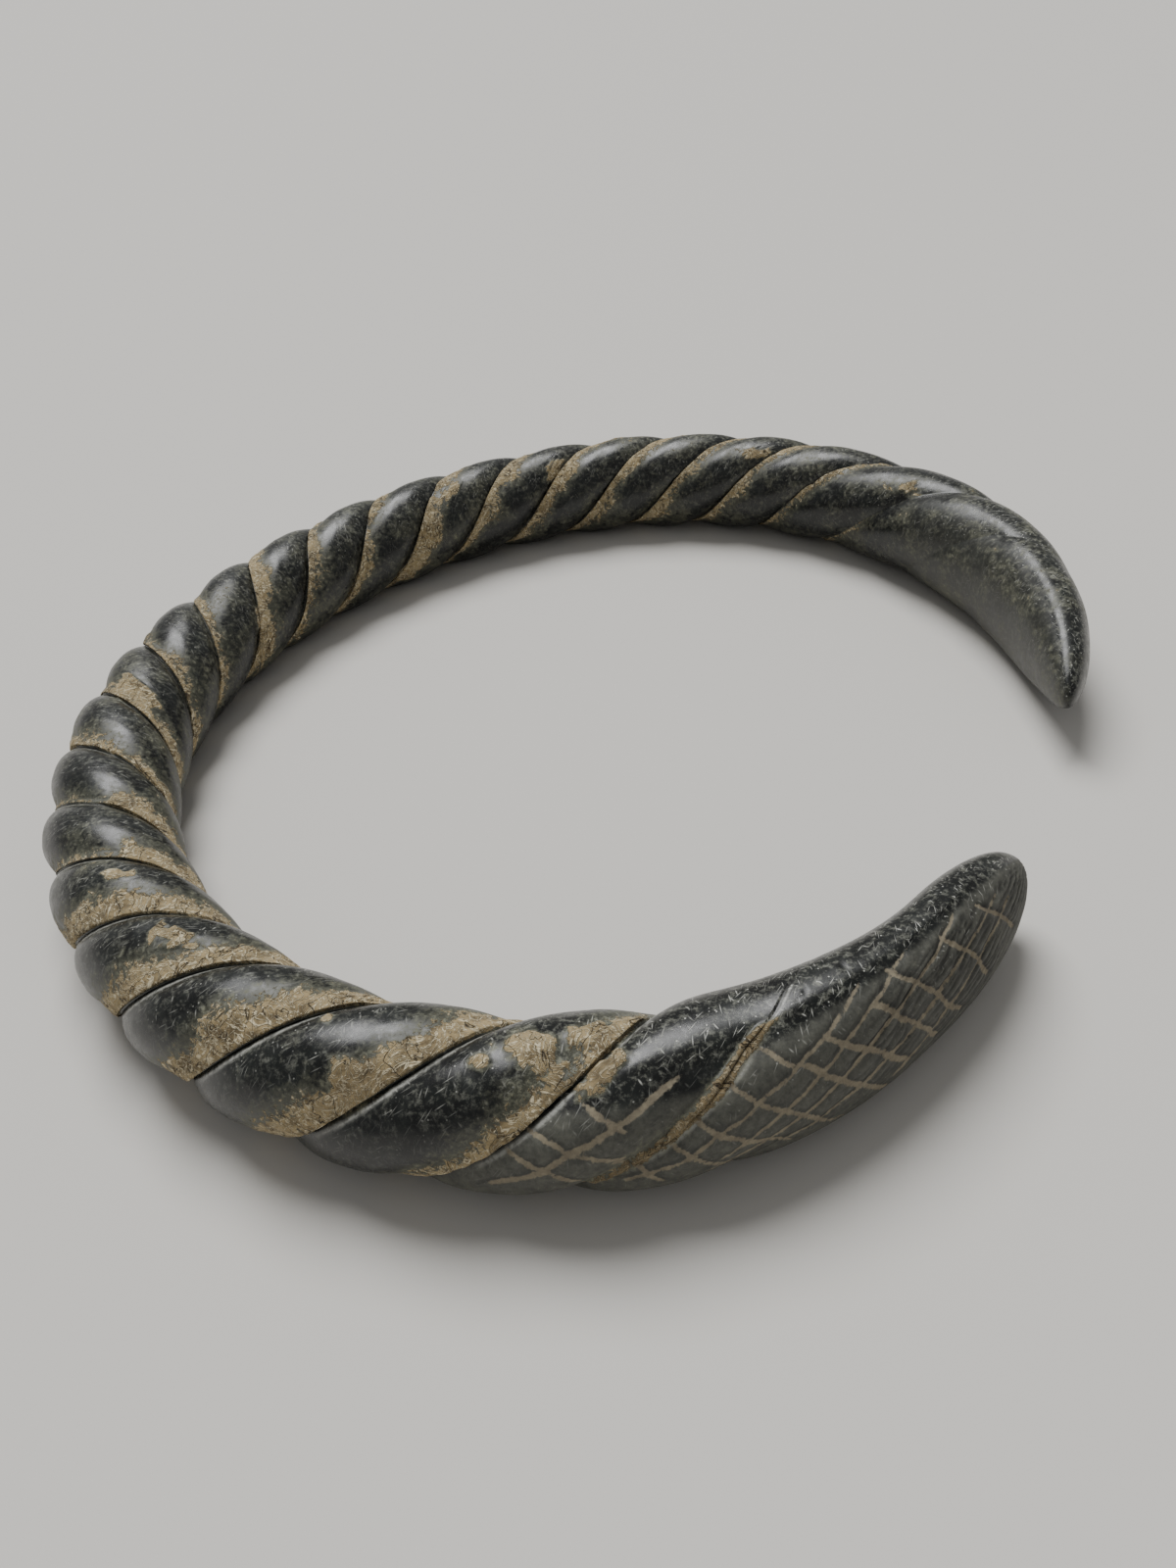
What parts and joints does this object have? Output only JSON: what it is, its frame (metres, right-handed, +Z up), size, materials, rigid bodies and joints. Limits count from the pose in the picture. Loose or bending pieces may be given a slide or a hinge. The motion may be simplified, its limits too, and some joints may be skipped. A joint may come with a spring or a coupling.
{
  "type": "twisted bangle",
  "caption": "Open carved stone bangle: a ring of twisted strands that runs out into flattened, tapering, blade-like ends with a wide gap between them.",
  "frame": {"origin": "middle of the bangle's underside, on the surface it lies on", "axes": "+Z up through the ring; the ring lies in XY, its longer width along Y, and the gap between the ends faces +X and a little -Y"},
  "size_m": [0.0772, 0.0828, 0.0092],
  "materials": {
    "stone": "polished near-black stone, finely scratched, with pale tan earth in the grooves"
  },
  "bodies": {
    "root": {"bangle": "stone"}
  },
  "joints": []
}
